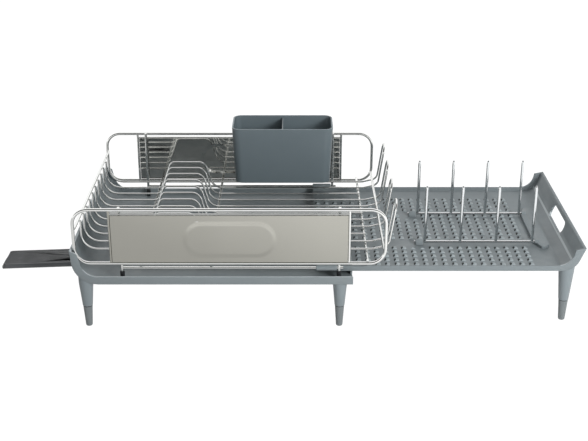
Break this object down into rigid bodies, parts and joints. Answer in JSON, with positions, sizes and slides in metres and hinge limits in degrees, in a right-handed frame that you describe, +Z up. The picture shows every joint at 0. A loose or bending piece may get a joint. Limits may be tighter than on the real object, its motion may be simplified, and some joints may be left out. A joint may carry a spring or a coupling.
{
  "type": "expandable dish rack",
  "caption": "Wire dish rack on a footed drip tray with a swivelling spout, a hooked-on cutlery caddy and a pull-out extension tray with fold-down tines.",
  "frame": {"origin": "on the ground, under the middle of the whole length from the spout's tip to the extension's end wall, and midway between front and back", "axes": "+X along the rack towards the extension tray, +Y towards the caddy at the back, +Z up"},
  "size_m": [0.9332, 0.3718, 0.237],
  "materials": {
    "chrome_wire": "bright plated wire",
    "satin_steel": "satin outside, bright inside",
    "tray_plastic": "satin moulded, cool grey",
    "leg_plastic": "satin moulded, cool grey",
    "caddy_plastic": "satin moulded, blue grey",
    "dark_plastic": "satin moulded, dark grey",
    "cap_rubber": "matt black"
  },
  "bodies": {
    "base": {"base_tray": "tray_plastic", "base_leg_front_left": "leg_plastic", "base_leg_front_right": "leg_plastic", "base_leg_back_left": "leg_plastic", "base_leg_back_right": "leg_plastic", "base_leg_tip_front_left": "leg_plastic", "base_leg_tip_front_right": "leg_plastic", "base_leg_tip_back_left": "leg_plastic", "base_leg_tip_back_right": "leg_plastic"},
    "spout": {"spout": "dark_plastic", "drain_ring": "dark_plastic"},
    "extension": {"extension_tray": "tray_plastic", "extension_leg_front": "leg_plastic", "extension_leg_back": "leg_plastic", "extension_leg_tip_front": "leg_plastic", "extension_leg_tip_back": "leg_plastic", "slide_shoe_front": "dark_plastic", "slide_shoe_back": "dark_plastic", "rod_clip_front": "tray_plastic", "rod_clip_back": "tray_plastic", "rod_end_plate": "tray_plastic"},
    "tines_front": {"tine_row_front": "chrome_wire"},
    "tines_back": {"tine_row_back": "chrome_wire"},
    "rack": {"side_frame_front": "chrome_wire", "side_frame_back": "chrome_wire", "foot_frame_front": "chrome_wire", "foot_frame_back": "chrome_wire", "bottom_wire_1": "chrome_wire", "bottom_wire_2": "chrome_wire", "bottom_wire_3": "chrome_wire", "bottom_wire_4": "chrome_wire", "bottom_wire_5": "chrome_wire", "bottom_wire_6": "chrome_wire", "bottom_wire_7": "chrome_wire", "bottom_wire_8": "chrome_wire", "bottom_wire_9": "chrome_wire", "bottom_wire_10": "chrome_wire", "bottom_wire_11": "chrome_wire", "prong_1": "chrome_wire", "prong_2": "chrome_wire", "prong_3": "chrome_wire", "prong_4": "chrome_wire", "support_wire_1": "chrome_wire", "support_wire_2": "chrome_wire", "support_wire_3": "chrome_wire", "cross_wire_left": "chrome_wire", "cross_wire_right": "chrome_wire", "panel_front": "satin_steel", "panel_back": "satin_steel", "foot_cap_front_left": "cap_rubber", "foot_cap_front_right": "cap_rubber", "foot_cap_back_left": "cap_rubber", "foot_cap_back_right": "cap_rubber", "foot_sleeve_front": "tray_plastic", "foot_sleeve_back": "tray_plastic"},
    "caddy": {"caddy": "caddy_plastic"}
  },
  "joints": [
    {"name": "extension_slide", "type": "slide", "parent": "base", "child": "extension", "axis": [1, 0, 0], "range_m": [-0.045, 0]},
    {"name": "spout_swivel", "type": "hinge", "parent": "base", "child": "spout", "pos_m": [-0.26401, -0.069, 0.07715], "axis": [0, 0, 1], "range_deg": [-180, 44]},
    {"name": "tine_fold_front", "type": "hinge", "parent": "extension", "child": "tines_front", "pos_m": [0.31099, -0.0723, 0.099], "axis": [-1, 0, 0], "range_deg": [0, 90]},
    {"name": "tine_fold_back", "type": "hinge", "parent": "extension", "child": "tines_back", "pos_m": [0.31099, 0.0452, 0.099], "axis": [-1, 0, 0], "range_deg": [0, 90]},
    {"name": "rack_lift", "type": "slide", "parent": "base", "child": "rack", "axis": [0, 0, 1], "range_m": [0, 0.12]},
    {"name": "caddy_lift", "type": "slide", "parent": "rack", "child": "caddy", "axis": [0, 0, 1], "range_m": [0, 0.12]}
  ]
}
